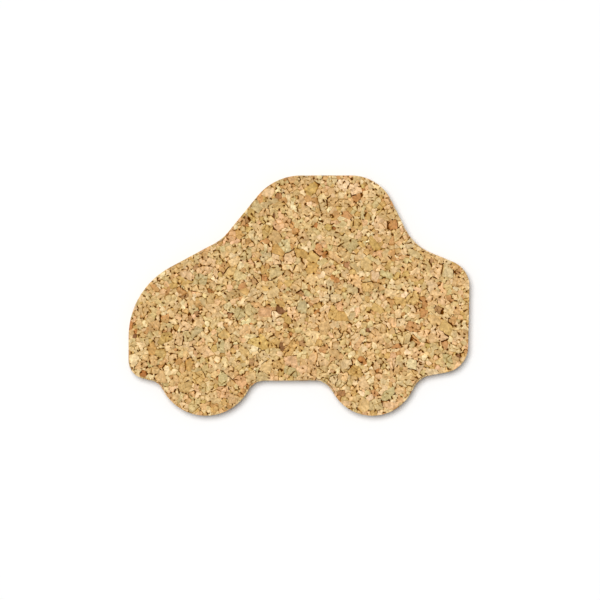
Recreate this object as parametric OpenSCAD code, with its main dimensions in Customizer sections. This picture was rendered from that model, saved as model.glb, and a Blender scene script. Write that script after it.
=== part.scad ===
// Drinks coaster in the outline of a small saloon car, die-cut from a sheet of agglomerated cork.
// Units are millimetres. The sheet lies flat on its lower face: +X runs to the tail, +Y to the roof, +Z up.
// The origin is under the middle of the outline's box, on the lower face.
// Heights in the outline are taken from the road line, the lowest point of the wheels.

/* [Sheet] */
// Length of the car from nose to tail
car_length = 127; // [122:0.5:132]
// Height of the car from the road line to the roof
car_height = 89.5; // [87:0.5:92]
// Thickness of the cork sheet
sheet_t = 4; // [3:0.5:6]

/* [Cabin] */
// Where the roof's front corner is centred along the car
roof_front_x = 0.75; // [-2:0.25:2]
// Radius of the roof's front corner
roof_front_r = 21; // [19:0.25:23]
// Length of the flat part of the roof
roof_flat = 18.75; // [16:0.25:20.25]
// Radius of the roof's rear corner
roof_rear_r = 16.5; // [14:0.25:18]
// Where the hollow between bonnet and windscreen is centred along the car
windscreen_foot_x = -40.75; // [-42:0.25:-39]
// Height of the centre of that hollow
windscreen_foot_h = 80.5; // [79:0.25:82]
// Radius of that hollow
windscreen_foot_r = 18.75; // [17:0.25:20]
// Where the hollow between rear window and boot is centred along the car
rear_window_foot_x = 56.5; // [55:0.25:58]
// Height of the centre of that hollow
rear_window_foot_h = 78.25; // [77:0.25:80]
// Radius of that hollow
rear_window_foot_r = 19; // [17:0.25:20]

/* [Nose and tail] */
// Radius of the bonnet's rounded front
nose_r = 29.25; // [27:0.25:31]
// Height of the centre of the bonnet's front
nose_h = 29.5; // [28:0.25:31]
// Radius of the corner under the nose
chin_r = 6.75; // [5.5:0.25:7]
// Height of the centre of that corner
chin_h = 20.5; // [20.25:0.25:21.5]
// Radius of the boot's upper corner
tail_high_r = 9.75; // [8:0.25:10.75]
// Height of the centre of that corner
tail_high_h = 48.25; // [47:0.25:49.25]
// Radius of the tail's lower corner
tail_low_r = 9.75; // [8:0.25:10.25]
// Height of the centre of that corner
tail_low_h = 25.75; // [25:0.25:27]
// How far the tail's lower corner stands in from the boot
tail_tuck = 0.5; // [0:0.25:1.5]

/* [Wheels] */
// Radius of the front wheel
front_wheel_r = 18; // [17:0.25:19]
// Where the front wheel is centred along the car
front_wheel_x = -34.75; // [-36:0.25:-33.5]
// Radius of the rear wheel
rear_wheel_r = 16.5; // [15.5:0.25:17.5]
// Where the rear wheel is centred along the car
rear_wheel_x = 27.25; // [26:0.25:28.5]
// Height of the car's underside between the wheels
sill_h = 13.1; // [12:0.1:14]
// Radius of the two fillets between wheels and underside
sill_fillet_r = 7.25; // [6:0.25:8]
// Radius of the fillet ahead of the front wheel
fore_fillet_r = 5.75; // [5:0.25:6]
// Height of the centre of that fillet
fore_fillet_h = 7.5; // [7:0.25:8]
// Radius of the fillet behind the rear wheel
aft_fillet_r = 9; // [8:0.25:9.5]
// Height of the centre of that fillet
aft_fillet_h = 6.25; // [5.5:0.25:7]
// Straight run between a wheel and its outer fillet, and between the rear wheel and its inner one
wheel_flank = 2.75; // [1.5:0.25:3.5]
// Straight run between the front wheel and its inner fillet
front_inner_flank = 0.5; // [0.25:0.25:2]

/* [Granules] */
// Mean spacing of the coarse cork granules
granule_pitch = 4.2; // [3.6:0.1:5.5]
// Share of the granule sites that hold a coarse granule
coarse_share = 0.5; // [0.1:0.05:0.6]
// How far a granule strays from its place in an even packing, as a share of the spacing
granule_stray = 0.42; // [0.2:0.02:0.48]
// Breadth of the narrowest flakes among the granules, as a share of the spacing
flake_breadth = 0.55; // [0.4:0.05:0.9]
// Breadth of the broadest granules, as a share of the spacing
full_breadth = 1.25; // [1:0.05:1.4]
// How deep the coarse granules reach into the sheet, as a share of its thickness
granule_reach = 0.35; // [0.2:0.05:0.45]
// Thickness of the binder film round each granule
binder_film = 0.14; // [0.05:0.01:0.3]

/* [Hidden] */

// Degrees of turn between the points of a rounded stretch
arc_step = 5;

// Share of the coarse granules that have each tone: tan, rose, honey, olive, cream, russet and bark
tone_shares = [0.34, 0.15, 0.14, 0.12, 0.11, 0.08, 0.06];
// How large the granules of each tone are: bark is harder than clean cork and breaks up finer in the mill
tone_sizes = [1, 1, 1, 1, 0.9, 0.7, 0.5];

road_y = -car_height / 2;
roof_y = car_height / 2;
nose_x = -car_length / 2;
tail_x = car_length / 2;
granule_depth = granule_reach * sheet_t;
// A cut this far past a face leaves no skin
overcut = 1;
// The nearest that a coarse granule's middle lies to the die-cut edge
edge_margin = 0.25 * granule_pitch;
top_seed = 11;
bottom_seed = 47;

// A fillet between a wheel and the body, with its centre at height h, behind the wheel if side is 1
function wheel_fillet(wheel_x, wheel_r, h, r, flank, side) =
    let (
        rise = h - wheel_r,
        reach = sqrt(pow(wheel_r + r, 2) + pow(flank, 2) - pow(rise, 2))
    )
    [wheel_x + side * reach, road_y + h, -r];

// The circles that the outline runs round, counter-clockwise from the roof's rear corner: x, y and radius.
// The outline is hollow where the radius is negative, and runs straight from each circle to the next.
outline_circles = [
    [roof_front_x + roof_flat, roof_y - roof_rear_r, roof_rear_r],
    [roof_front_x, roof_y - roof_front_r, roof_front_r],
    [windscreen_foot_x, road_y + windscreen_foot_h, -windscreen_foot_r],
    [nose_x + nose_r, road_y + nose_h, nose_r],
    [nose_x + chin_r, road_y + chin_h, chin_r],
    wheel_fillet(front_wheel_x, front_wheel_r, fore_fillet_h, fore_fillet_r, wheel_flank, -1),
    [front_wheel_x, road_y + front_wheel_r, front_wheel_r],
    wheel_fillet(front_wheel_x, front_wheel_r, sill_h - sill_fillet_r, sill_fillet_r, front_inner_flank, 1),
    wheel_fillet(rear_wheel_x, rear_wheel_r, sill_h - sill_fillet_r, sill_fillet_r, wheel_flank, -1),
    [rear_wheel_x, road_y + rear_wheel_r, rear_wheel_r],
    wheel_fillet(rear_wheel_x, rear_wheel_r, aft_fillet_h, aft_fillet_r, wheel_flank, 1),
    [tail_x - tail_tuck - tail_low_r, road_y + tail_low_h, tail_low_r],
    [tail_x - tail_high_r, road_y + tail_high_h, tail_high_r],
    [rear_window_foot_x, road_y + rear_window_foot_h, -rear_window_foot_r]];
circle_count = len(outline_circles);

// Heading of the straight run that leaves circle a and meets circle b, tangent to both
function run_heading(a, b) =
    atan2(b.y - a.y, b.x - a.x) + asin((a.z - b.z) / norm([b.x - a.x, b.y - a.y]));
run_headings = [for (i = [0:circle_count - 1])
    run_heading(outline_circles[i], outline_circles[(i + 1) % circle_count])];

// The signed turn from heading a to heading b, by the short way
function turn(a, b) = (b - a + 540) % 360 - 180;

// Points along circle c's share of the outline, which starts at a heading and turns by an angle
function arc_points(c, heading, by) =
    let (steps = max(1, ceil(abs(by) / arc_step)))
    [for (s = [0:steps]) let (h = heading + by * s / steps) [c.x + c.z * sin(h), c.y - c.z * cos(h)]];

outline_points = [for (i = [0:circle_count - 1])
    let (arriving = run_headings[(i + circle_count - 1) % circle_count])
    each arc_points(outline_circles[i], arriving, turn(arriving, run_headings[i]))];
outline_count = len(outline_points);

module car_outline() polygon(outline_points);

// Distance of point p from the stretch of outline between a and b
function stretch_distance(p, a, b) =
    let (ab = b - a, along = max(0, min(1, (p - a) * ab / max(ab * ab, 1e-9))))
    norm(p - a - along * ab);

// How many stretches of the outline lie beyond p in +X: odd if p is inside
function crossings(p) = len([for (i = [0:outline_count - 1])
    let (a = outline_points[i], b = outline_points[(i + 1) % outline_count])
    if ((a.y > p.y) != (b.y > p.y) && p.x < a.x + (p.y - a.y) / (b.y - a.y) * (b.x - a.x)) i]);

function well_inside(p) = crossings(p) % 2 == 1 && min([for (i = [0:outline_count - 1])
    stretch_distance(p, outline_points[i], outline_points[(i + 1) % outline_count])]) > edge_margin;

// The granules' sites: an even grid with every second column dropped by half a step, each site strayed
columns = ceil(car_length / granule_pitch) + 4;
rows = ceil(car_height / granule_pitch) + 4;
function sites(seed) =
    let (
        reach = granule_stray * granule_pitch,
        sideways = rands(-reach, reach, columns * rows, seed),
        upways = rands(-reach, reach, columns * rows, seed + 1)
    )
    [for (i = [0:columns - 1]) [for (j = [0:rows - 1]) [
        (i - (columns - 1) / 2) * granule_pitch + sideways[i * rows + j],
        (j - (rows - 1) / 2 + (i % 2) / 2) * granule_pitch + upways[i * rows + j]]]];

// The part of a convex polygon within a distance of its site along a unit direction
function clipped(poly, site, direction, distance) =
    [for (k = [0:len(poly) - 1])
        let (
            a = poly[k],
            b = poly[(k + 1) % len(poly)],
            past_a = (a - site) * direction - distance,
            past_b = (b - site) * direction - distance
        )
        each concat(
            past_a <= 0 ? [a] : [],
            (past_a < 0) != (past_b < 0) ? [a + (b - a) * past_a / (past_a - past_b)] : [])];

// A cell: the space nearer to its site than to any neighbour's, less the binder film
function cell(poly, site, neighbours, k = 0) =
    k == len(neighbours) ? poly :
    let (apart = neighbours[k] - site, gap = norm(apart))
    cell(clipped(poly, site, apart / gap, (gap - binder_film) / 2), site, neighbours, k + 1);

// A cell cut down on two opposite sides to a flake of the given breadth
function flake(poly, site, angle, breadth) =
    let (across = [cos(angle), sin(angle)])
    clipped(clipped(poly, site, across, breadth / 2), site, -across, breadth / 2);

function shrunk(poly, site, size) = [for (p = poly) site + size * (p - site)];

function square_round(site, half) =
    [for (corner = [[-1, -1], [1, -1], [1, 1], [-1, 1]]) site + half * corner];

// The tone that a random number from 0 to 1 stands for
function tone_of(draw, tone = 0) =
    tone == len(tone_shares) - 1 || draw < tone_shares[tone]
        ? tone
        : tone_of(draw - tone_shares[tone], tone + 1);

// Every coarse granule on one face, as [tone, polygon]
function coarse_granules(seed) =
    let (
        place = sites(seed),
        chosen = rands(0, 1, columns * rows, seed + 2),
        draw = rands(0, 1, columns * rows, seed + 3),
        angle = rands(0, 180, columns * rows, seed + 4),
        narrow = flake_breadth * granule_pitch,
        broad = full_breadth * granule_pitch,
        breadth = rands(narrow, broad, columns * rows, seed + 5)
    )
    [for (i = [2:columns - 3], j = [2:rows - 3])
        let (k = i * rows + j, site = place[i][j])
        if (chosen[k] < coarse_share && well_inside(site))
        let (
            neighbours = [for (u = [-2:2], v = [-2:2]) if (u != 0 || v != 0) place[i + u][j + v]],
            whole = cell(square_round(site, 2 * granule_pitch), site, neighbours),
            tone = tone_of(draw[k])
        )
        [tone, shrunk(flake(whole, site, angle[k], breadth[k]), site, tone_sizes[tone])]];

all_tones = [for (tone = [0:len(tone_shares) - 1]) tone];
top_granules = coarse_granules(top_seed);
bottom_granules = coarse_granules(bottom_seed);

// The faces of the granules that have one of the tones
module granule_faces(granules, tones)
    for (g = granules)
        if (len(search(g[0], tones)) > 0) polygon(g[1]);

// The coarse granules of one tone, flush with both faces and cut through at the edge by the same die
module granules_of_tone(tone) {
    translate([0, 0, sheet_t - granule_depth]) linear_extrude(granule_depth) intersection() {
        car_outline();
        granule_faces(top_granules, [tone]);
    }
    linear_extrude(granule_depth) intersection() {
        car_outline();
        granule_faces(bottom_granules, [tone]);
    }
}

// The bonded sheet: binder and fine granulate, with a pocket round each coarse granule
module bonded_sheet() {
    color("#cca672") difference() {
        linear_extrude(sheet_t) car_outline();
        translate([0, 0, sheet_t - granule_depth])
            linear_extrude(granule_depth + overcut) granule_faces(top_granules, all_tones);
        translate([0, 0, -overcut])
            linear_extrude(granule_depth + overcut) granule_faces(bottom_granules, all_tones);
    }
}

// Granules of plain cork, the most common
module tan_granules() {
    color("#d2ac77") granules_of_tone(0);
}

// Pinkish granules from the inner side of the bark
module rose_granules() {
    color("#dcb488") granules_of_tone(1);
}

// Golden granules
module honey_granules() {
    color("#c79f58") granules_of_tone(2);
}

// Greenish grey granules
module olive_granules() {
    color("#bfae80") granules_of_tone(3);
}

// The palest granules
module cream_granules() {
    color("#ead3a4") granules_of_tone(4);
}

// Reddish brown granules from near the outer bark
module russet_granules() {
    color("#bd7f48") granules_of_tone(5);
}

// Dark granules of the outer bark itself, the rarest
module bark_granules() {
    color("#7c5434") granules_of_tone(6);
}

bonded_sheet();
tan_granules();
rose_granules();
honey_granules();
olive_granules();
cream_granules();
russet_granules();
bark_granules();
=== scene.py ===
import math

import bpy
import numpy as np
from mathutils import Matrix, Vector, kdtree, noise


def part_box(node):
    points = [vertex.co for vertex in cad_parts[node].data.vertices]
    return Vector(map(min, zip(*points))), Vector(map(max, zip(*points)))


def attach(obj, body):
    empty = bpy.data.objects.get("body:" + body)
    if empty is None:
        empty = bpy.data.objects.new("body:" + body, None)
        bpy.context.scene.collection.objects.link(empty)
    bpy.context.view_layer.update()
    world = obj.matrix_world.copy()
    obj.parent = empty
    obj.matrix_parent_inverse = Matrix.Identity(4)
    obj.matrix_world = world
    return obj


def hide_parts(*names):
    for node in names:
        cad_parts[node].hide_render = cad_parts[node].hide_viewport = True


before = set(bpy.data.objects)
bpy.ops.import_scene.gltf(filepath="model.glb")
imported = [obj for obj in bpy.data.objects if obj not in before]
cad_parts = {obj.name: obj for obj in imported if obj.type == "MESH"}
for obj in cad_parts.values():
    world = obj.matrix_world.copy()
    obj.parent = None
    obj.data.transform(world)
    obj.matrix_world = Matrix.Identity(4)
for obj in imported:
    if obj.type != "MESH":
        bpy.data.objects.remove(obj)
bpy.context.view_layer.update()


# Binder sheet
# The body of the coaster: cork dust and glue, baked with the granules in a block, sliced to sheets and cut to
# the car by a steel rule die. Only its dark floor shows, down in the pits and crevices between the granules.
MM = 0.001  # sizes are in mm and become Blender's metres by this
sheet_low, sheet_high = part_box("bonded_sheet")
face_z = {"top": sheet_high.z / MM, "bottom": sheet_low.z / MM}
merge_distance = 0.002
flat_angle = math.radians(0.2)
crevice_depth = 0.7
binder_colour = "#582b00"
binder_fleck_colour = "#78440a"
binder_fleck = 0.6
binder_fleck_range = (0.45, 0.75)


def only(piece):
    """Makes a piece the one that is selected and active."""
    bpy.ops.object.select_all(action="DESELECT")
    piece.select_set(True)
    bpy.context.view_layer.objects.active = piece


def copy_of_node(name, node):
    """A new piece with a copy of a CAD node's mesh, its loose triangles merged."""
    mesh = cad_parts[node].data.copy()
    mesh.materials.clear()
    piece = bpy.data.objects.new(name, mesh)
    bpy.context.scene.collection.objects.link(piece)
    only(piece)
    bpy.ops.object.mode_set(mode="EDIT")
    bpy.ops.mesh.select_all(action="SELECT")
    bpy.ops.mesh.remove_doubles(threshold=merge_distance * MM)
    bpy.ops.object.mode_set(mode="OBJECT")
    return piece


def area_of(corners):
    """The area inside an outline, negative where it runs clockwise."""
    x, y = np.transpose(corners)[:2]
    return np.sum(x * np.roll(y, -1) - y * np.roll(x, -1)) / 2


def from_first_corner(corners):
    """An outline begun at its leftmost corner, because Blender can begin the same face at any."""
    corners = np.round(corners, 4)
    return np.roll(corners, -np.lexsort((corners[:, 1], corners[:, 0]))[0], 0)


def linear(hex_colour):
    """An sRGB hex colour as linear RGB."""
    shares = [int(hex_colour[i:i + 2], 16) / 255 for i in (1, 3, 5)]
    return [s / 12.92 if s <= 0.04045 else ((s + 0.055) / 1.055) ** 2.4 for s in shares]


def add_node(tree, kind, links=None, values=None, **settings):
    """Adds a shader node with its settings, plain socket values and links from other nodes' sockets."""
    made = tree.nodes.new(kind)
    for name, value in settings.items():
        setattr(made, name, value)
    for socket, value in (values or {}).items():
        made.inputs[socket].default_value = value
    for socket, source in (links or {}).items():
        tree.links.new(source, made.inputs[socket])
    return made


def new_material(name):
    """An empty node material, its tree and the principled shader on its output."""
    material = bpy.data.materials.new(name)
    material.use_nodes = True
    tree = material.node_tree
    tree.nodes.clear()
    shader = add_node(tree, "ShaderNodeBsdfPrincipled")
    add_node(tree, "ShaderNodeOutputMaterial", {"Surface": shader.outputs["BSDF"]})
    return material, tree, shader


# The die's line is the sheet's section at mid thickness, where no granule reaches.
binder = copy_of_node("binder_sheet", "bonded_sheet")
middle = (sheet_low.z + sheet_high.z) / 2
bpy.ops.object.mode_set(mode="EDIT")
bpy.ops.mesh.select_all(action="SELECT")
bpy.ops.mesh.bisect(plane_co=(0, 0, middle), plane_no=(0, 0, 1), clear_inner=True, clear_outer=True)
bpy.ops.mesh.select_all(action="SELECT")
bpy.ops.mesh.remove_doubles(threshold=merge_distance * MM)
bpy.ops.mesh.dissolve_limited(angle_limit=flat_angle)
bpy.ops.mesh.edge_face_add()
bpy.ops.object.mode_set(mode="OBJECT")
section = binder.data.polygons[0]
die_line = np.array([binder.data.vertices[i].co[:2] for i in section.vertices]) / MM
if area_of(die_line) < 0:
    die_line = die_line[::-1]
die_line = from_first_corner(die_line)
binder.data.clear_geometry()
binder.data.from_pydata([(x * MM, y * MM, middle) for x, y in die_line], [], [range(len(die_line))])

# The slab lies below the faces and behind the wall by the depth of the crevices.
slab_depth = (face_z["top"] - face_z["bottom"] - 2 * crevice_depth) * MM
bpy.ops.object.mode_set(mode="EDIT")
bpy.ops.mesh.select_all(action="SELECT")
bpy.ops.mesh.inset(thickness=crevice_depth * MM)
bpy.ops.mesh.select_all(action="INVERT")
bpy.ops.mesh.delete(type="VERT")
bpy.ops.mesh.select_all(action="SELECT")
bpy.ops.transform.translate(value=(0, 0, -slab_depth / 2))
bpy.ops.mesh.extrude_region_move(TRANSFORM_OT_translate={"value": (0, 0, slab_depth)})
bpy.ops.mesh.select_all(action="SELECT")
bpy.ops.mesh.normals_make_consistent(inside=False)
bpy.ops.object.mode_set(mode="OBJECT")

# Polyurethane binder with cork dust: dull dark brown, flecked where dust sits on it.
binder_glue, tree, shader = new_material("polyurethane_binder_with_cork_dust")
place = add_node(tree, "ShaderNodeTexCoord")
flecks = add_node(tree, "ShaderNodeTexNoise", {"Vector": place.outputs["Object"]},
                  {"Scale": 1 / (binder_fleck * MM), "Detail": 2.0})
tones = add_node(tree, "ShaderNodeValToRGB", {"Fac": flecks.outputs["Fac"]})
fleck_stops = zip(tones.color_ramp.elements, binder_fleck_range, (binder_colour, binder_fleck_colour))
for stop, position, colour in fleck_stops:
    stop.position = position
    stop.color = (*linear(colour), 1)
tree.links.new(tones.outputs["Color"], shader.inputs["Base Color"])
shader.inputs["Roughness"].default_value = 0.75
shader.inputs["Specular IOR Level"].default_value = 0.0
binder.data.materials.append(binder_glue)

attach(binder, "root")
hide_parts("bonded_sheet")


# Coarse granules
# Pieces of cork, 2 to 6 mm across, ground from bark and stopper waste and pressed into the block with their
# flats turned every way. The slicing knife leaves each one level with the face, its rim a little broken.
coarse_depth = 1.4
coarse_lie = (0.03, 0.012)  # how far a cut face drops below the coaster's, and how steeply it leans
coarse_spread = 0.05
part_spread = 0.05
coarse_seed = 100
coarse_tones = {
    "tan_granules": {"#dab27b": 3, "#d5ad74": 2, "#dfba84": 2},
    "rose_granules": {"#e0b482": 2, "#e5bd8c": 2, "#dbaa77": 1},
    "honey_granules": {"#d0a866": 2, "#d4ad6d": 2, "#cba05e": 1},
    "olive_granules": {"#d0b47e": 2, "#c9af7b": 2, "#d5bb87": 1},
    "cream_granules": {"#e7c895": 2, "#edcf9e": 1, "#e3c28e": 2},
    "russet_granules": {"#d4a067": 2, "#cc945b": 1},
    "bark_granules": {"#c69865": 1, "#bc8d5b": 1},
}
coarse_streaks = {"russet_granules": ("#b67846", 0.62), "bark_granules": ("#7a5030", 0.6)}
coarse_rows = {"top": ((0, 0.4), (0.8, 0.9)), "bottom": ((0.4, 0.8), (0.9, 1))}

# The die's line in straight stretches.
die_steps = np.roll(die_line, -1, 0) - die_line
die_lengths = np.hypot(*die_steps.T)
die_along = die_steps / die_lengths[:, None]
die_outward = np.stack([die_along[:, 1], -die_along[:, 0]], 1)
die_reach = np.sum(die_outward * die_line, 1)
die_starts = np.cumsum(die_lengths) - die_lengths
die_total = die_lengths.sum()
box_low = die_line.min(0)
box_span = np.ptp(die_line, axis=0)
points_at_once = 5000
on_line_within = 0.03


def nearest_on_die(points):
    """For each point the nearest stretch of the die's line, how far along it, and the step from there."""
    found = []
    for some in np.array_split(points, len(points) // points_at_once + 1):
        from_start = some[:, None] - die_line[None]
        past = np.clip(np.sum(from_start * die_along, 2), 0, die_lengths)
        off = from_start - past[:, :, None] * die_along
        nearest = np.hypot(off[:, :, 0], off[:, :, 1]).argmin(1)
        rows = np.arange(len(some))
        found.append((nearest, past[rows, nearest], off[rows, nearest]))
    return [np.concatenate(column) for column in zip(*found)]


def inside_depth(points):
    """How far each point lies inside the die's line, in mm, negative outside it."""
    stretch, past, off = nearest_on_die(points)
    outside = np.sum(off * die_outward[stretch], 1) > 0
    return np.where(outside, -1, 1) * np.hypot(*off.T)


def at_die_line(points):
    """Which points lie on the die's line."""
    return inside_depth(points) < on_line_within


def along_die(points):
    """How far along the die's line each point on it lies, in mm."""
    stretch, past, off = nearest_on_die(points)
    return die_starts[stretch] + past


def stretch_at(along):
    """The stretch of the die's line that lies so far along it, and the share of it passed there."""
    along = along % die_total
    stretch = np.searchsorted(die_starts, along, side="right") - 1
    return stretch, ((along - die_starts[stretch]) / die_lengths[stretch])[:, None]


def on_die(along):
    """The points that lie so far along the die's line."""
    stretch, share = stretch_at(along)
    return die_line[stretch] + share * die_steps[stretch]


# The die shears the granules at its line, and their cut sides reach down unevenly and lean along it.
# Blender's noise gets a seed, because its vectors follow the clock without one.
noise_seed = 3
noise.seed_set(noise_seed)
lean_spacing = 2.6
side_lean = 1.3
cut_share = 0.55
side_tear = 0.6
least_reach = 0.3


def torn_side(along, depths, side):
    """How deep the cut sides of a face's granules reach along the die's line, and how far they lean."""
    turns = [noise.noise_vector(Vector((s, face_z[side], 0)) / lean_spacing) for s in along]
    turns = np.reshape(turns, (-1, 3))
    reach = np.maximum(depths * (cut_share + side_tear * turns[:, 0]), least_reach)
    return reach, side_lean * turns[:, 1] * reach


# The outlines that the CAD gives, in mm, grow through the film of binder and crack. A crack is tight, narrow
# or wide: each row has the share up to which it is so, the ends of half its gap, and its widest angle.
level_within = 0.01
straight_within = 0.03
film_left = 0.14
tight_share = 0.92
widest_move = -0.08
move_less = 0.004
cut_within = 0.05
corner_room = 1.0
wedge_room = 0.2
splinter = 0.1
cracked_share = 0.65
crack_spacing = 1.5
crack_area = 3.5
crack_tries = 80
crack_kinds = ((0.65, (0.002, 0.002), 0.0), (0.97, (0.01, 0.035), 0.05), (1.0, (0.06, 0.14), 0.2))


def coarse_outlines(node):
    """The outlines of a CAD node's granules in mm, on the top face and on the bottom face."""
    helper = copy_of_node("coarse_outline_helper", node)
    bpy.ops.object.mode_set(mode="EDIT")
    bpy.ops.mesh.select_all(action="SELECT")
    bpy.ops.mesh.dissolve_limited(angle_limit=flat_angle)
    bpy.ops.object.mode_set(mode="OBJECT")
    found = {"top": [], "bottom": []}
    for face in helper.data.polygons:
        corners = np.array([helper.data.vertices[i].co for i in face.vertices]) / MM
        for side, z in face_z.items():
            if np.all(abs(corners[:, 2] - z) < level_within):
                found[side].append(from_first_corner(corners[::1 if side == "top" else -1, :2]))
    bpy.data.meshes.remove(helper.data)
    for outlines in found.values():
        outlines.sort(key=lambda outline: tuple(outline[0]))
    return found


def straight_sides(outline):
    """A granule's sides as rows of outward x, outward y and reach, less those that its corners pass."""
    corners = np.array(outline)
    ahead = np.roll(corners, -1, 0) - corners
    outward = np.stack([ahead[:, 1], -ahead[:, 0]], 1) / np.hypot(*ahead.T)[:, None]
    reach = np.sum(outward * corners, 1)
    passed = np.max(corners @ outward.T - reach, 0)
    return np.column_stack([outward, reach])[passed < straight_within]


def clipped(outline, nx, ny, reach, beyond, gap):
    """The part of a convex outline that goes no further than reach along a direction. Each corner carries the
    number of what lies beyond the side after it, and half of the gap to it, also where this cuts."""
    kept = []
    over = [nx * corner[0] + ny * corner[1] - reach for corner in outline]
    for i, corner in enumerate(outline):
        before, now = over[i - 1], over[i]
        if (before > 0) != (now > 0):
            (last_x, last_y, *last_side), (x, y, *_) = outline[i - 1], corner
            share = before / (before - now)
            side = (beyond, gap) if now > 0 else last_side
            kept.append((last_x + share * (x - last_x), last_y + share * (y - last_y), *side))
        if now <= 0:
            kept.append(corner)
    return kept


def sides_kept(outline):
    """A clipped outline as rows of x, y and half of the gap beside the side that follows."""
    return np.array([(x, y, gap) for x, y, beyond, gap in outline])


def grown(outline, rng):
    """A coarse granule's outline with its sides moved out through the film of binder: most of them up to what
    lies beyond, and the others less far, which leaves a crevice. One on the die's line stays put."""
    sides = straight_sides(outline)
    if len(sides) < len(outline):
        return np.column_stack([outline, np.zeros(len(outline))])
    depths = inside_depth(outline)
    cut = np.maximum(depths, np.roll(depths, -1)) < cut_within
    tight = rng.random(len(sides)) < tight_share
    moves = np.where(tight, film_left / 2, rng.uniform(widest_move, film_left / 2, len(sides)))
    (x0, y0), (x1, y1) = outline.min(0) - corner_room, outline.max(0) + corner_room
    larger = [(x, y, None, 0.0) for x, y in ((x0, y0), (x1, y0), (x1, y1), (x0, y1))]
    for (nx, ny, reach), move in zip(sides, np.where(cut, 0, moves - move_less)):
        larger = clipped(larger, nx, ny, reach + move, None, film_left / 2 - move)
    return sides_kept(larger)


def space_of(i, start, rivals, places, gap_to):
    """The part of a start outline nearest to place i among its rivals, less its half of each gap."""
    x, y, size = places[i]
    outline = start
    for j in rivals:
        ox, oy, other = places[j]
        far = math.dist((x, y), (ox, oy))
        share = far / 2 + (size * size - other * other) / (8 * far)
        gap, angle = gap_to(i, j)
        heading = math.atan2(oy - y, ox - x) + angle * (1 if i < j else -1)
        nx, ny = math.cos(heading), math.sin(heading)
        reach = nx * x + ny * y + share - gap - wedge_room * size * abs(angle)
        outline = clipped(outline, nx, ny, reach, j, gap)
    return outline


def big_enough(outline):
    """Whether a part of a granule is worth keeping: neither a splinter nor nothing."""
    if len(outline) < 3:
        return False
    corners = np.array([corner[:2] for corner in outline])
    around = np.sum(np.hypot(*(np.roll(corners, -1, 0) - corners).T))
    return area_of(corners) > splinter * around


def opening(kinds, rng):
    """Half of the gap at a border and the angle at which it opens: mostly tight, seldom a wedge."""
    chance = rng.random()
    (least, most), turn = next((ends, turn) for share, ends, turn in kinds if chance < share)
    if turn == 0:
        return least, 0.0
    return rng.uniform(least, most), rng.uniform(-turn, turn)


def cracked(outline, rng):
    """A coarse granule's outline, or the outlines of the parts that it has cracked into."""
    corners = outline[:, :2]
    sides = straight_sides(corners)
    most_parts = area_of(corners) / crack_area
    places = []
    if rng.random() < cracked_share:
        for x, y in rng.uniform(corners.min(0), corners.max(0), (crack_tries, 2)).tolist():
            clear = all(math.dist((x, y), place[:2]) > crack_spacing for place in places)
            if clear and len(places) < most_parts and np.all(sides[:, :2] @ (x, y) < sides[:, 2]):
                places.append((x, y, crack_spacing))
    if len(places) < 2:
        return [outline]
    gaps = {}
    parts = []
    start = [(x, y, None, gap) for x, y, gap in outline.tolist()]
    for i in range(len(places)):
        part = space_of(i, start, [j for j in range(len(places)) if j != i], places,
                        lambda i, j: gaps.setdefault((min(i, j), max(i, j)), opening(crack_kinds, rng)))
        if big_enough(part):
            parts.append(sides_kept(part))
    return parts


# Torn borders, in mm: the steps along them, how far they stray over two spans, and the pits that open along
# them. Near the die's line they stray less, and close to it no pit opens.
side_step = 0.35
wander = {2.4: 0.30, 0.85: 0.22}
calm_margin = 0.05
stray_room = 1.2
pit_room = 0.25
pit_spacing = 1.0
pit_closed = 0.22
pit_growth = 0.54
pit_tail = 0.6
pit_limit = 0.4
least_inward = 0.01


def strayed(x, y):
    """How far a torn border strays at a place."""
    stray = Vector()
    for span, amount in wander.items():
        stray += amount * noise.noise_vector(Vector((x, y, span)) / span)
    return stray[:2]


def broken_outlines(outlines, room, rng):
    """Granules' straight-sided outlines with their sides stepped and wandering, as torn cork has them, and
    drawn back here and there, which opens a short pit. They wander and open alike on both sides of a border,
    and the less, the less room there is."""
    stepped = []
    counts = []
    for outline in outlines:
        before = len(stepped)
        for i, end in enumerate(outline):
            start = outline[i - 1]
            steps = max(1, round(math.dist(start[:2], end[:2]) / side_step))
            stepped.append((*start[:2], max(start[2], outline[i - 2][2])))
            stepped += [(*(start[:2] + (end[:2] - start[:2]) * k / steps), start[2]) for k in range(1, steps)]
        counts.append(len(stepped) - before)
    stepped = np.array(stepped)
    clear = room(stepped[:, :2]) - calm_margin
    freedom = np.clip(clear / stray_room, 0, 1)
    strays = np.array([strayed(x, y) for x, y, gap in stepped])
    opened = [noise.noise(Vector((x, y, pit_spacing)) / pit_spacing) for x, y, gap in stepped]
    drawn_back = pit_growth * np.maximum(np.array(opened) - pit_closed, 0)
    drawn_back = drawn_back * np.exp(rng.normal(0, pit_tail, len(stepped)))
    drawn_back *= np.clip(clear / pit_room, 0, 1)
    hearts = np.repeat([np.mean(outline[:, :2], 0) for outline in outlines], counts, 0)
    inward = hearts - stepped[:, :2]
    shares = np.minimum(drawn_back / np.maximum(np.hypot(*inward.T), least_inward), pit_limit)
    stepped[:, :2] += strays * freedom[:, None] + inward * shares[:, None]
    stepped[:, 2] = np.maximum(stepped[:, 2], drawn_back)
    return np.split(stepped, np.cumsum(counts)[:-1])


def cut_planes(outlines, drop, lean, rng):
    """The plane of each granule's cut face: leaning a little, just below the coaster's face."""
    planes = []
    for outline in outlines:
        slope = rng.normal(0, lean, 2)
        planes.append((-abs(rng.normal(0, drop)) - np.max(outline[:, :2] @ slope), *slope))
    return np.array(planes)


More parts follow.
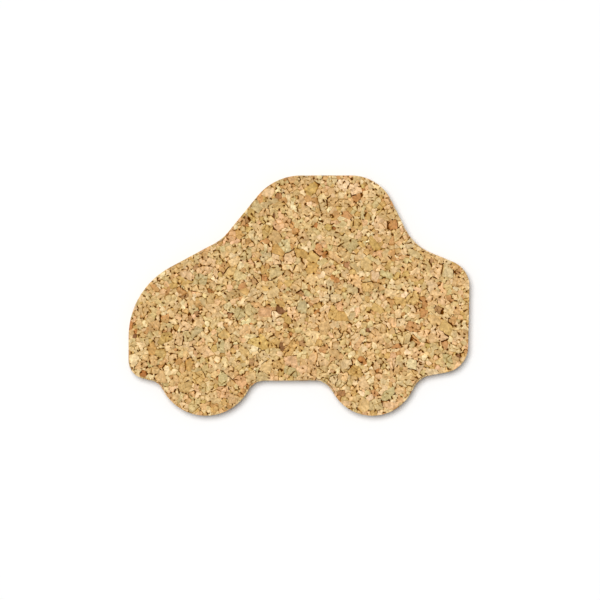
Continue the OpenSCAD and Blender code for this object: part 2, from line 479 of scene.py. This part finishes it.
# Solid granules: in the rough each is raised by 1 mm from a flat back to a rim, then a ring and a belt on the
# face and a low crown. In its place a tight rim stands higher than one at a crevice.
rough_height = 1.0
rim_breadth = 0.17
rim_drop = 0.12
tight_lift = 0.6
belt_inset = 0.01
crown = 0.05
ring_pull = 0.15
belt_pull = 0.45
back_taper = 0.95
back_on_map = 0.5
map_margin = 0.005
open_gap = 0.08

# Colours: binder stains backs and sides. Rims at crevices are darker, partly binder stain and partly painted
# shade, and the face beside a crevice is lighter, partly torn pale cork and partly a painted highlight. A
# granule's shade changes its blue the most and its red the least.
stain_colour = "#562a00"
stain_share = 0.85
clean_colour = "#d2ac75"
# Darkening of rims and face rings beside open crevices: partly binder stain, partly painted shade.
rim_stain_and_shade_colour = "#7a450c"
rim_stain_and_shade = 0.9
ring_stain_and_shade = 0.14
stain_and_shade_range = (0.6, 1.0)
rim_mottle = 0.16
face_mottle = 0.05
# Lightening of face rings beside open crevices: partly torn pale cork, partly a painted highlight.
torn_edge_and_highlight = (0.08, 0.10)
shade_depth = (0.85, 1.0, 1.3)
hue_spread = 0.022


def flat_granules(name, outlines, colours, planes, depths, rng):
    """A piece of flat granules, whose corners carry the granule's number, colour, grain, cut plane, middle
    and depth, and half of the gap beside them."""
    counts = [len(outline) for outline in outlines]
    ends = np.cumsum(counts)
    flat = np.concatenate(outlines)
    mesh = bpy.data.meshes.new(name)
    mesh.from_pydata((flat * (MM, MM, 0)).tolist(), [],
                     [list(range(end - count, end)) for count, end in zip(counts, ends)])
    hearts = [(*np.mean(outline[:, :2], 0), depth) for outline, depth in zip(outlines, depths)]
    kept = {"cork": ("FLOAT_COLOR", "color", np.column_stack([colours, np.ones(len(colours))])),
            "grain": ("FLOAT_VECTOR", "vector", rng.uniform(0, math.tau, (len(outlines), 3))),
            "plane": ("FLOAT_VECTOR", "vector", planes),
            "heart": ("FLOAT_VECTOR", "vector", hearts),
            "number": ("FLOAT", "value", np.arange(len(outlines)))}
    for key, (kind, field, rows) in kept.items():
        rows = np.repeat(np.array(rows, "f"), counts, 0)
        mesh.attributes.new(key, kind, "POINT").data.foreach_set(field, rows.ravel())
    mesh.attributes.new("gap", "FLOAT", "POINT").data.foreach_set("value", np.array(flat[:, 2], "f"))
    piece = bpy.data.objects.new(name, mesh)
    bpy.context.scene.collection.objects.link(piece)
    return piece


def raise_granules(piece):
    """Extrudes flat granules to the rim, insets the face above it and the belt, and pokes up the crown."""
    only(piece)
    bpy.ops.object.mode_set(mode="EDIT")
    bpy.ops.mesh.select_all(action="SELECT")
    bpy.ops.mesh.extrude_region_move(TRANSFORM_OT_translate={"value": (0, 0, (rough_height - rim_drop) * MM)})
    bpy.ops.mesh.inset(thickness=rim_breadth * MM, use_individual=True, use_even_offset=False)
    bpy.ops.transform.translate(value=(0, 0, rim_drop * MM))
    bpy.ops.mesh.inset(thickness=belt_inset * MM, use_individual=True, use_even_offset=False)
    bpy.ops.transform.translate(value=(0, 0, crown / 2 * MM))
    bpy.ops.mesh.poke(offset=crown / 2 * MM)
    bpy.ops.mesh.select_all(action="SELECT")
    bpy.ops.mesh.normals_make_consistent(inside=False)
    bpy.ops.object.mode_set(mode="OBJECT")


def values_of(items, field, width, kind="f"):
    """A field of all the vertices, faces, corners or attribute values of a mesh, one row each."""
    rows = np.empty((len(items), width), kind)
    items.foreach_get(field, rows.ravel())
    return rows


def turn_outward(mesh, granules):
    """Flips granules that are inside out, as mirrored ones are. Each face comes with its granule."""
    middles = values_of(mesh.polygons, "center", 3)
    normals = values_of(mesh.polygons, "normal", 3)
    areas = values_of(mesh.polygons, "area", 1)[:, 0]
    volumes = np.bincount(granules, np.sum(middles * normals, 1) * areas)
    bpy.ops.object.mode_set(mode="EDIT")
    bpy.ops.mesh.select_mode(type="FACE")
    bpy.ops.mesh.select_all(action="DESELECT")
    bpy.ops.object.mode_set(mode="OBJECT")
    mesh.polygons.foreach_set("select", volumes[granules] < 0)
    bpy.ops.object.mode_set(mode="EDIT")
    bpy.ops.mesh.flip_normals()
    bpy.ops.mesh.select_mode(type="VERT")
    bpy.ops.object.mode_set(mode="OBJECT")


def granule_solids(name, outlines, colours, planes, depths, side, put, lay, rng):
    """One piece of many closed granules. Flat ones are raised, coloured and laid on the piece's map, and then
    each is leant to its plane, sunk to its depth with a taper, and put in its place on the coaster. Where the
    die has cut the granules of a face, their sides stay clean, reach down unevenly and lean."""
    piece = flat_granules(name, outlines, colours, planes, depths, rng)
    raise_granules(piece)
    mesh = piece.data
    points = values_of(mesh.vertices, "co", 3) / MM
    plane = values_of(mesh.attributes["plane"].data, "vector", 3)
    heart = values_of(mesh.attributes["heart"].data, "vector", 3)
    cork = values_of(mesh.attributes["cork"].data, "color", 4)
    gap = values_of(mesh.attributes["gap"].data, "value", 1)[:, 0]
    number = values_of(mesh.attributes["number"].data, "value", 1)[:, 0]
    height = points[:, 2]
    back = height < rough_height / 2
    rim = ~back & (height < rough_height - rim_drop / 2)
    ring = ~back & ~rim & (height < rough_height + crown / 4)
    belt = ~back & ~rim & ~ring & (height < rough_height + crown * 3 / 4)
    opened = np.clip(gap / open_gap, 0, 1)

    count = len(points)
    mottle_and_highlight = rim * rng.normal(0, rim_mottle, count) + ring * rng.normal(0, face_mottle, count)
    # Face rings beside open crevices are lightened: partly torn pale cork, partly a painted highlight.
    mottle_and_highlight += ring * opened * rng.normal(*torn_edge_and_highlight, count)
    cork[:, :3] *= np.exp(mottle_and_highlight[:, None] * shade_depth)
    # Rims and face rings beside open crevices are darkened: partly binder stain, partly painted shade.
    crevice_stain_and_shade = (rim_stain_and_shade * rim + ring_stain_and_shade * ring) * rng.uniform(*stain_and_shade_range, count) * opened
    cork[:, :3] *= (np.array(linear(rim_stain_and_shade_colour)) / linear(clean_colour)) ** crevice_stain_and_shade[:, None]
    stained = back.copy()
    if side:
        stained[back] = ~at_die_line(points[back, :2])
    cut = np.nonzero(back & ~stained)[0]
    along = along_die(points[cut, :2])
    cork[stained, :3] += stain_share * (np.array(linear(stain_colour)) - cork[stained, :3])
    mesh.attributes["cork"].data.foreach_set("color", cork.ravel())

    corner = values_of(mesh.loops, "vertex_index", 1, "i")[:, 0]
    first = values_of(mesh.polygons, "loop_start", 1, "i")[:, 0]
    total = values_of(mesh.polygons, "loop_total", 1, "i")[:, 0]
    under = np.repeat(np.maximum.reduceat(back[corner], first), total)
    from_heart = points[:, :2] - heart[:, :2]
    plan = heart[:, :2] + np.where(back, back_on_map, 1.0)[:, None] * from_heart
    spots = np.array(lay(plan[corner], heart[corner, :2], under), "f")
    mesh.uv_layers.new(name="OFBake").data.foreach_set("uv", spots.ravel())

    drawn = np.select([back, ring, belt], [back_taper, 1 - ring_pull, 1 - belt_pull], 1.0)[:, None]
    points[:, :2] = heart[:, :2] + drawn * from_heart
    leaning = plane[:, 0] + np.sum(plane[:, 1:] * points[:, :2], 1)
    points[:, 2] = np.where(back, -heart[:, 2], points[:, 2] - rough_height - crown + leaning)
    points[:, 2] += rim * (1 - opened) * tight_lift * rim_drop
    if side:
        reach, lean = torn_side(along, heart[cut, 2], side)
        points[cut] = np.column_stack([on_die(along + lean), -reach])
    mesh.vertices.foreach_set("co", (np.array(put(points), "f") * MM).ravel())
    for key in ("plane", "heart", "gap", "number"):
        mesh.attributes.remove(mesh.attributes[key])
    turn_outward(mesh, np.rint(number[corner[first]]).astype(int))
    return piece


def into_face(side):
    """Puts points, with their height from the face outwards, into the top or the bottom face."""
    outward = 1 if side == "top" else -1
    return lambda points: points * (1, 1, outward) + (0, 0, face_z[side])


def face_map(face_rows, back_rows):
    """Lays granules on the piece's map as they lie in the coaster's face: their cut faces in one band of the
    map's rows, and their sides and backs in another."""
    def spots(plan, hearts, under):
        rows = np.where(under[:, None], back_rows, face_rows)
        share = map_margin + (1 - 2 * map_margin) * (plan - box_low) / box_span
        return np.column_stack([share[:, 0], rows[:, 0] + share[:, 1] * (rows[:, 1] - rows[:, 0])])
    return spots


def cork_colours(palette, count, rng, spread):
    """Linear colours for granules: one of the palette's each, by their shares, a little lighter or darker."""
    shares = np.array(list(palette.values()), float)
    picked = rng.choice(len(palette), count, p=shares / shares.sum())
    colours = np.array([linear(colour) for colour in palette])[picked]
    lighter = rng.normal(0, 1, (count, 1)) * spread * shade_depth
    return colours * np.exp(lighter + rng.normal(0, hue_spread, (count, 3)))


# Sliced cork, in mm: growth streaks, knife facets, lenticels and the roughness of the cut.
grain_shift = 7.0
streak_width = 1.2
streak_stretch = (1, 0.4, 1)
streak_range = (0.25, 0.75)
streak_depth = 0.3
streak_edge = 0.15
facet = 0.6
facet_depth = 0.19
pore_pitch = 1.1
pore_share = 0.12
pore_sizes = (-0.2, 0.28)
pore_edge = 0.05
pore_colour = "#7a4c22"
cut_roughness = 0.2
cut_relief = 0.06


def cut_cork(name, streak=None):
    """Sliced cork: dull and soft, with the growth of the bark in streaks that lie another way in each
    granule, facets where the knife tore it, and lenticels, the bark's dark breathing pores, cut along or
    across. Cork's own cells are 0.04 mm across, too fine to show, so the facets are drawn coarser."""
    material, tree, shader = new_material(name)
    place = add_node(tree, "ShaderNodeTexCoord")
    grain = add_node(tree, "ShaderNodeAttribute", attribute_name="grain")
    angle = add_node(tree, "ShaderNodeSeparateXYZ", {"Vector": grain.outputs["Vector"]})
    lying = add_node(tree, "ShaderNodeVectorRotate",
                     {"Vector": place.outputs["Object"], "Angle": angle.outputs["X"]}, rotation_type="Z_AXIS")
    apart = add_node(tree, "ShaderNodeVectorMath", {0: grain.outputs["Vector"], 2: lying.outputs["Vector"]},
                     {1: [grain_shift * MM] * 3}, operation="MULTIPLY_ADD")
    along = add_node(tree, "ShaderNodeVectorMath", {0: apart.outputs["Vector"]}, {1: streak_stretch},
                     operation="MULTIPLY")
    growth = add_node(tree, "ShaderNodeTexNoise", {"Vector": along.outputs["Vector"]},
                      {"Scale": 1 / (streak_width * MM), "Detail": 2.0, "Roughness": 0.5})
    streaks = add_node(tree, "ShaderNodeValToRGB", {"Fac": growth.outputs["Fac"]})
    streak_stops = zip(streaks.color_ramp.elements, streak_range, (-streak_depth, streak_depth))
    for stop, position, change in streak_stops:
        stop.position = position
        stop.color = (*np.exp(change * np.array(shade_depth)), 1)
    torn = add_node(tree, "ShaderNodeTexNoise", {"Vector": apart.outputs["Vector"]},
                    {"Scale": 1 / (facet * MM), "Detail": 2.0})
    ragged = add_node(tree, "ShaderNodeVectorMath", {0: torn.outputs["Color"], 2: apart.outputs["Vector"]},
                      {1: [facet * MM] * 3}, operation="MULTIPLY_ADD")
    facets = add_node(tree, "ShaderNodeTexVoronoi", {"Vector": ragged.outputs["Vector"]},
                      {"Scale": 1 / (facet * MM)})
    chance = add_node(tree, "ShaderNodeSeparateColor", {"Color": facets.outputs["Color"]})
    turned = add_node(tree, "ShaderNodeMapRange", {"Value": chance.outputs["Red"]},
                      {"To Min": 1 - facet_depth, "To Max": 1 + facet_depth})
    lightness = add_node(tree, "ShaderNodeVectorMath",
                         {"Vector": streaks.outputs["Color"], "Scale": turned.outputs["Result"]},
                         operation="SCALE")
    tone = add_node(tree, "ShaderNodeAttribute", attribute_name="cork").outputs["Color"]
    if streak:
        colour, share = streak
        dark = add_node(tree, "ShaderNodeMapRange", {"Value": growth.outputs["Fac"]},
                        {"From Min": share - streak_edge, "From Max": share + streak_edge})
        tone = add_node(tree, "ShaderNodeMix", {"Factor": dark.outputs["Result"], "A": tone},
                        {"B": (*linear(colour), 1)}, data_type="RGBA").outputs["Result"]
    faceted = add_node(tree, "ShaderNodeVectorMath", {0: tone, 1: lightness.outputs["Vector"]},
                       operation="MULTIPLY")
    pores = add_node(tree, "ShaderNodeTexVoronoi", {"Vector": along.outputs["Vector"]},
                     {"Scale": 1 / (pore_pitch * MM)})
    pore_chance = add_node(tree, "ShaderNodeSeparateColor", {"Color": pores.outputs["Color"]})
    pore_reach = add_node(tree, "ShaderNodeMapRange", {"Value": pore_chance.outputs["Red"]},
                          {"From Min": 1 - pore_share, "From Max": 1.0,
                           "To Min": pore_sizes[0], "To Max": pore_sizes[1]})
    pore = add_node(tree, "ShaderNodeMath", {0: pore_reach.outputs["Result"], 1: pores.outputs["Distance"]},
                    operation="SUBTRACT")
    open_pore = add_node(tree, "ShaderNodeMapRange", {"Value": pore.outputs["Value"]},
                         {"From Min": -pore_edge, "From Max": pore_edge})
    pored = add_node(tree, "ShaderNodeMix",
                     {"Factor": open_pore.outputs["Result"], "A": faceted.outputs["Vector"]},
                     {"B": (*linear(pore_colour), 1)}, data_type="RGBA")
    rough = add_node(tree, "ShaderNodeTexNoise", {"Vector": place.outputs["Object"]},
                     {"Scale": 1 / (cut_roughness * MM), "Detail": 2.0})
    relief = add_node(tree, "ShaderNodeBump", {"Height": rough.outputs["Fac"]},
                      {"Strength": 0.25, "Distance": cut_relief * MM})
    tree.links.new(pored.outputs["Result"], shader.inputs["Base Color"])
    tree.links.new(relief.outputs["Normal"], shader.inputs["Normal"])
    shader.inputs["Roughness"].default_value = 0.9
    shader.inputs["Specular IOR Level"].default_value = 0.05
    return material


coarse = {"top": [], "bottom": []}
face_granules = {"top": [], "bottom": []}
for number, (node, palette) in enumerate(coarse_tones.items()):
    rng = np.random.default_rng(coarse_seed + number)
    halves = []
    for side, found in coarse_outlines(node).items():
        found = [grown(outline, rng) for outline in found]
        coarse[side] += [outline[:, :2] for outline in found]
        split = [cracked(outline, rng) for outline in found]
        outlines = broken_outlines([part for parts in split for part in parts], inside_depth, rng)
        face_granules[side] += [(outline[:, :2], coarse_depth) for outline in outlines]
        planes = cut_planes(outlines, *coarse_lie, rng)
        colours = cork_colours(palette, len(found), rng, coarse_spread)
        colours = np.repeat(colours, [len(parts) for parts in split], 0)
        colours *= np.exp(rng.normal(0, part_spread, (len(outlines), 1)))
        depths = [coarse_depth] * len(outlines)
        halves.append(granule_solids(f"{node}_{side}", outlines, colours, planes, depths, side,
                                     into_face(side), face_map(*coarse_rows[side]), rng))
    piece, other = halves
    only(piece)
    other.select_set(True)
    bpy.ops.object.join()
    piece.name = piece.data.name = "cut_" + node
    piece.data.materials.append(cut_cork("sliced_cork_" + node.split("_")[0], coarse_streaks.get(node)))
    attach(piece, "root")
    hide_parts(node)


# Fine granules of the two faces
# Crumbs of the same cork, 0.7 to 5 mm long, between the coarse ones. The binder holds them and the knife
# slices them level too, with crevices left along their borders and pits where a crumb has pulled out.
fine_sizes = {2.5: 150, 2.0: 350, 1.6: 700, 1.25: 1200, 0.95: 1600, 0.72: 1600}  # breadth: how many
tries_each = 12
spacing = 0.43
clear_share = 0.3
past_die = 0.35
crumb_shares = (0.45, 0.35, 0.2)
crumb_reach = 0.65
neighbours_tried = 8
row_angle = math.radians(40)
crevice_kinds = ((0.70, (0.002, 0.002), 0.0), (0.97, (0.01, 0.04), 0.05), (1.0, (0.07, 0.2), 0.2))
start_reach = 1.1
start_corners = 10
shortest_side = 0.07
pulled_out = 0.05
pulled_area = 0.4
fine_depth = 0.8
into_binder = 0.05
fine_lie = (0.04, 0.03)
crumb_spread = {0.8: 0.06, 2.2: 0.05}
plain_share = 0.5
plain_tones = {"#d8b37a": 5, "#e0bd86": 4, "#d2b37b": 3, "#d7ac73": 3}
mixed_tones = {
    "#eac995": 4, "#e3b884": 3.5, "#efd29f": 1.5, "#d1a967": 3,
    "#d3b681": 2.5, "#ca985e": 1.4, "#b97d46": 0.4, "#8c613e": 0.08,
}
fine_rows = ((0, 0.8), (0.8, 1))
face_seeds = {"top": 21, "bottom": 22}


def room_beside(blocks, points):
    """How far each point lies outside the nearest of some convex blocks, in mm."""
    room = np.full(len(points), np.inf)
    for sides in blocks:
        room = np.minimum(room, np.max(points @ sides[:, :2].T - sides[:, 2], 1))
    return room


def scattered(sizes, low, high, room, rng):
    """Places for granules as x, y and size, the coarsest first, clear of each other and within the room."""
    places = []
    bins = {}
    bin_width = max(sizes)
    for size, wanted in sizes.items():
        tries = rng.uniform(low, high, (wanted * tries_each, 2))
        left = wanted
        for x, y in tries[room(tries) > clear_share * size].tolist():
            column, row = int(x // bin_width), int(y // bin_width)
            near = (p for i in (-1, 0, 1) for j in (-1, 0, 1) for p in bins.get((column + i, row + j), ()))
            if any(math.hypot(x - px, y - py) < spacing * (size + other) for px, py, other in near):
                continue
            places.append((x, y, size))
            bins.setdefault((column, row), []).append((x, y, size))
            left -= 1
            if left == 0:
                break
    return places


def neighbour_tree(places):
    """A search tree over granules' places."""
    tree = kdtree.KDTree(len(places))
    for i, (x, y, size) in enumerate(places):
        tree.insert((x, y, 0), i)
    tree.balance()
    return tree


def crumbled(places, tree, rng):
    """The crumb that each place is part of: one alone, or one with a neighbour on one side or both."""
    crumbs = [None] * len(places)
    for i in rng.permutation(len(places)).tolist():
        if crumbs[i] is not None:
            continue
        crumbs[i] = i
        x, y, size = places[i]
        heading = rng.uniform(0, math.tau)
        for side in range(rng.choice(len(crumb_shares), p=crumb_shares)):
            along = Vector((math.cos(heading), math.sin(heading), 0)) * (-1) ** side
            for point, j, far in tree.find_n((x, y, 0), neighbours_tried):
                off = point - Vector((x, y, 0))
                near = far < crumb_reach * (size + places[j][2])
                if crumbs[j] is None and near and off.angle(along) < row_angle:
                    crumbs[j] = i
                    break
    return crumbs


def granule_outlines(places, tree, crumbs, blocks, limits, rng):
    """Each place's outline: the space nearest to it, less its share of the crevices to other crumbs and to
    blocks. The sides between two parts of one crumb are marked with each other's number."""
    widest = max(size for x, y, size in places)
    hearts = np.array([np.mean(block, 0) for block in blocks])
    breadths = np.array([np.max(np.hypot(*(block - heart).T)) for block, heart in zip(blocks, hearts)])
    block_sides = [straight_sides(block) for block in blocks]
    turns = [k * math.tau / start_corners for k in range(start_corners)]
    gaps = {}
    outlines = []

    def gap_to(i, j):
        if crumbs[i] == crumbs[j]:
            return 0.0, 0.0
        return gaps.setdefault((min(i, j), max(i, j)), opening(crevice_kinds, rng))

    for i, (x, y, size) in enumerate(places):
        radius = start_reach * size
        start = [(x + radius * math.cos(turn), y + radius * math.sin(turn), None, 0.0) for turn in turns]
        rivals = [j for _, j, far in tree.find_range((x, y, 0), start_reach * (size + widest)) if j != i]
        outline = space_of(i, start, rivals, places, gap_to)
        for k in np.nonzero(np.hypot(*(hearts - (x, y)).T) < breadths + radius)[0].tolist():
            over = block_sides[k][:, :2] @ (x, y) - block_sides[k][:, 2]
            nx, ny, reach = block_sides[k][over.argmax()]
            if (crumbs[i], -k) not in gaps:
                gaps[crumbs[i], -k] = opening(crevice_kinds, rng)
            gap = 2 * gaps[crumbs[i], -k][0]
            outline = clipped(outline, -nx, -ny, -reach - gap, None, gap)
        for nx, ny, reach in limits(x, y, radius):
            outline = clipped(outline, nx, ny, reach, None, 0.0)
        outlines.append(outline)
    return outlines


def whole_crumbs(outlines, crumbs):
    """The outline of each crumb, with its parts joined along the sides that are marked with each other's
    number, and the number of the crumb."""
    grown_crumbs = {}
    for i, crumb in enumerate(crumbs):
        if crumb == i and big_enough(outlines[i]):
            grown_crumbs[i] = outlines[i]
    whole = []
    for i, crumb in enumerate(crumbs):
        if crumb == i or not big_enough(outlines[i]):
            continue
        main = grown_crumbs.get(crumb, [])
        near = [k for k, corner in enumerate(main) if corner[2] == i]
        far = [k for k, corner in enumerate(outlines[i]) if corner[2] == crumb]
        if near and far:
            part = outlines[i][far[0] + 1:] + outlines[i][:far[0]] + [(*outlines[i][far[0]][:2], None, 0.0)]
            start = (*main[near[0]][:2], None, 0.0)
            grown_crumbs[crumb] = main[:near[0]] + [start] + part + main[near[0] + 1:]
        else:
            whole.append((outlines[i], i))
    whole += [(outline, i) for i, outline in grown_crumbs.items()]
    smooth = []
    for outline, i in whole:
        far = [math.dist(corner[:2], outline[k - 1][:2]) for k, corner in enumerate(outline)]
        corners = [corner for corner, length in zip(outline, far) if length > shortest_side]
        if len(corners) > 2:
            smooth.append((sides_kept(corners), i))
    return smooth


def still_in(whole, rng):
    """The crumbs without a few of the small ones, which have pulled out and left a pit."""
    return [(outline, i) for outline, i in whole
            if area_of(outline) > pulled_area or rng.random() > pulled_out]


def die_limits(x, y, radius):
    """The straight stretches of the die's line that a granule at this place can reach."""
    from_start = (x, y) - die_line
    past = np.clip(np.sum(from_start * die_along, 1), 0, die_lengths)
    far = np.hypot(*(from_start - past[:, None] * die_along).T)
    return [(*die_outward[k], die_reach[k]) for k in np.nonzero(far < radius)[0]]


def face_room(points):
    """How far each point lies from the face's coarse granules and from a line just outside the die's."""
    return np.minimum(inside_depth(points) + past_die, room_beside(blocks, points))


crumb_cork = cut_cork("sliced_cork_crumb")
for side, seed in face_seeds.items():
    rng = np.random.default_rng(seed)
    blocks = [straight_sides(outline) for outline in coarse[side]]
    places = scattered(fine_sizes, box_low, box_low + box_span, face_room, rng)
    tree = neighbour_tree(places)
    crumbs = crumbled(places, tree, rng)
    parts = granule_outlines(places, tree, crumbs, coarse[side], die_limits, rng)
    whole = still_in(whole_crumbs(parts, crumbs), rng)
    outlines = broken_outlines([outline for outline, number in whole], inside_depth, rng)
    sizes = np.array([places[number][2] for outline, number in whole])
    depths = np.clip(fine_depth * sizes, crevice_depth + into_binder, coarse_depth)
    face_granules[side] += [(outline[:, :2], depth) for outline, depth in zip(outlines, depths)]
    planes = cut_planes(outlines, *fine_lie, rng)
    spread = np.interp(sizes, list(crumb_spread), list(crumb_spread.values()))[:, None]
    plain = rng.random(len(whole)) < plain_share
    colours = np.where(plain[:, None], cork_colours(plain_tones, len(whole), rng, spread),
                       cork_colours(mixed_tones, len(whole), rng, spread))
    for kind, chosen in (("plain", plain), ("mixed", ~plain)):
        picked = np.nonzero(chosen)[0]
        piece = granule_solids(f"fine_{kind}_granules_{side}", [outlines[k] for k in picked], colours[picked],
                               planes[picked], depths[picked], side, into_face(side),
                               face_map(*fine_rows), rng)
        piece.data.materials.append(crumb_cork)
        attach(piece, "root")
        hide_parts("bonded_sheet")


# Granules of the cut edge
# The die shears straight down through whatever it meets, so the edge shows the cut sides of the granules of
# both faces and, between them, granules from inside the sheet, with the same crevices and pits.
edge_sizes = {2.4: 50, 2.0: 90, 1.6: 180, 1.25: 400, 0.95: 700, 0.72: 900}
edge_depth = 0.8
edge_margin = 0.04
edge_lie = (0.04, 0.02)
edge_spread = 0.08
edge_seed = 23
shortest_cut = 0.1
past_face = 0.1
map_rows = 9
row_margin = 0.04
band_margin = 0.02
thickness = face_z["top"] - face_z["bottom"]
corner_outward = die_outward + np.roll(die_outward, 1, 0)
corner_outward /= np.hypot(*corner_outward.T)[:, None]


def cut_sides(side):
    """The cut sides of a face's granules as convex outlines on the edge, along it and up from its foot."""
    blocks = []
    outlines = [outline for outline, depth in face_granules[side]]
    ends = np.cumsum([len(outline) for outline in outlines])
    at_line = np.split(at_die_line(np.concatenate(outlines)), ends[:-1])
    for (outline, depth), chosen in zip(face_granules[side], at_line):
        if np.count_nonzero(chosen) < 2:
            continue
        along = np.sort(along_die(outline[chosen]))
        runs = [along]
        if np.ptp(along) > die_total / 2:
            early = along < die_total / 2
            runs = [np.append(0, along[early]), np.append(along[~early], die_total)]
        for run in runs:
            if np.ptp(run) < shortest_cut:
                continue
            start, end = run[0], run[-1]
            reach, lean = torn_side((start, end), depth, side)
            rows = [(start, -past_face), (end, -past_face),
                    (end + lean[1], reach[1]), (start + lean[0], reach[0])]
            if len(straight_sides(rows)) < 4:
                rows = [(start, -past_face), (end, -past_face), (end, max(reach)), (start, max(reach))]
            if side == "top":
                rows = [(s, thickness - z) for s, z in rows[::-1]]
            blocks.append(np.array(rows))
    return blocks


def edge_limits(along, up, radius):
    """The four sides of the edge, laid out flat."""
    return [(-1, 0, 0), (1, 0, die_total), (0, -1, -edge_margin), (0, 1, thickness - edge_margin)]


def edge_room(points):
    """How far each point lies from the sides of the edge and from the cut sides of the faces' granules."""
    ends = np.minimum(points, (die_total, thickness) - points).min(1)
    return np.minimum(ends, room_beside(edge_sides, points))


def onto_edge(points):
    """Wraps points, given as along the edge, up and outwards, round the coaster."""
    stretch, share = stretch_at(points[:, 0])
    outward = (1 - share) * corner_outward[stretch] + share * corner_outward[(stretch + 1) % len(die_line)]
    plan = die_line[stretch] + share * die_steps[stretch] + outward * points[:, 2:]
    return np.column_stack([plan, points[:, 1] + face_z["bottom"]])


def edge_map(plan, hearts, under):
    """Lays the edge's granules on the map in rows, each row of cut faces below its row of sides and backs."""
    row_length = die_total / map_rows
    row = np.floor(hearts[:, 0] / row_length)
    across = row_margin + (1 - 2 * row_margin) * (plan[:, 0] / row_length - row)
    up = 0.5 * under + band_margin + (0.5 - 2 * band_margin) * plan[:, 1] / thickness
    return np.column_stack([across, (row + up) / map_rows])


rng = np.random.default_rng(edge_seed)
edge_blocks = cut_sides("top") + cut_sides("bottom")
edge_sides = [straight_sides(block) for block in edge_blocks]
places = scattered(edge_sizes, (0, 0), (die_total, thickness), edge_room, rng)
tree = neighbour_tree(places)
crumbs = crumbled(places, tree, rng)
parts = granule_outlines(places, tree, crumbs, edge_blocks, edge_limits, rng)
whole = still_in(whole_crumbs(parts, crumbs), rng)
outlines = broken_outlines([outline for outline, number in whole], edge_room, rng)
planes = cut_planes(outlines, *edge_lie, rng)
plain = rng.random((len(whole), 1)) < plain_share
colours = np.where(plain, cork_colours(plain_tones, len(whole), rng, edge_spread),
                   cork_colours(mixed_tones, len(whole), rng, edge_spread))
piece = granule_solids("fine_granules_edge", outlines, colours, planes, [edge_depth] * len(whole),
                       None, onto_edge, edge_map, rng)
piece.data.materials.append(crumb_cork)
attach(piece, "root")
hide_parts("bonded_sheet")


# Floor, light and camera
# The coaster lies on plain white paper and throws a soft shadow. One broad lamp hangs nearly overhead, and
# the camera looks straight down.
floor_size = 3.0
floor_bounce = 0.6


def seen_straight(tree):
    """Gives 1 for rays from the camera, in mirrors or through clear pieces, and 0 for diffuse light."""
    path = add_node(tree, "ShaderNodeLightPath")
    seen = path.outputs["Is Camera Ray"]
    for kind in ("Is Glossy Ray", "Is Transmission Ray"):
        either = add_node(tree, "ShaderNodeMath", {0: seen, 1: path.outputs[kind]}, operation="MAXIMUM")
        seen = either.outputs["Value"]
    return seen


bpy.ops.object.select_all(action="DESELECT")
bpy.ops.mesh.primitive_plane_add(size=floor_size, location=(0, 0, face_z["bottom"] * MM))
floor = bpy.context.object
floor.name = "floor"

# White paper: even and dull. It throws back less light than it shows, or the coaster's edge would be lit up.
paper, tree, shader = new_material("white_paper")
white = add_node(tree, "ShaderNodeMapRange", {"Value": seen_straight(tree)},
                 {"To Min": floor_bounce, "To Max": 1.0})
tree.links.new(white.outputs["Result"], shader.inputs["Base Color"])
shader.inputs["Roughness"].default_value = 1.0
shader.inputs["Specular IOR Level"].default_value = 0.0
floor.data.materials.append(paper)

# An even white sky lights the coaster from all round, less than its own brightness, and the lamp does most.
sky_level = 0.27
lamp_level = 0.74
lamp_tilt = (15.5, 12.5)
lamp_breadth = 40
world = bpy.data.worlds.new("studio")
world.use_nodes = True
tree = world.node_tree
tree.nodes.clear()
level = add_node(tree, "ShaderNodeMapRange", {"Value": seen_straight(tree)},
                 {"To Min": sky_level, "To Max": 1.0})
sky = add_node(tree, "ShaderNodeBackground", {"Strength": level.outputs["Result"]}, {"Color": (1, 1, 1, 1)})
add_node(tree, "ShaderNodeOutputWorld", {"Surface": sky.outputs["Background"]})
bpy.context.scene.world = world

lamp = bpy.data.objects.new("lamp", bpy.data.lights.new("lamp", "SUN"))
tilt_back, tilt_side = (math.radians(angle) for angle in lamp_tilt)
lamp.rotation_euler = (-tilt_back, -tilt_side, 0)
lamp.data.energy = lamp_level * math.pi / (math.cos(tilt_back) * math.cos(tilt_side))
lamp.data.angle = math.radians(lamp_breadth)
bpy.context.scene.collection.objects.link(lamp)

# The photograph's frame is 223.5 mm wide at the coaster's face, and its middle lies a little below the car's.
frame_width = 223.5
frame_middle = (0.363, -1.657)
camera_height = 2500
camera = bpy.data.objects.new("camera", bpy.data.cameras.new("camera"))
camera.data.sensor_width = 36
camera.data.lens = camera.data.sensor_width * (camera_height - face_z["top"]) / frame_width
camera.location = (frame_middle[0] * MM, frame_middle[1] * MM, camera_height * MM)
bpy.context.scene.collection.objects.link(camera)
bpy.context.scene.camera = camera
bpy.context.scene.view_settings.view_transform = "Standard"
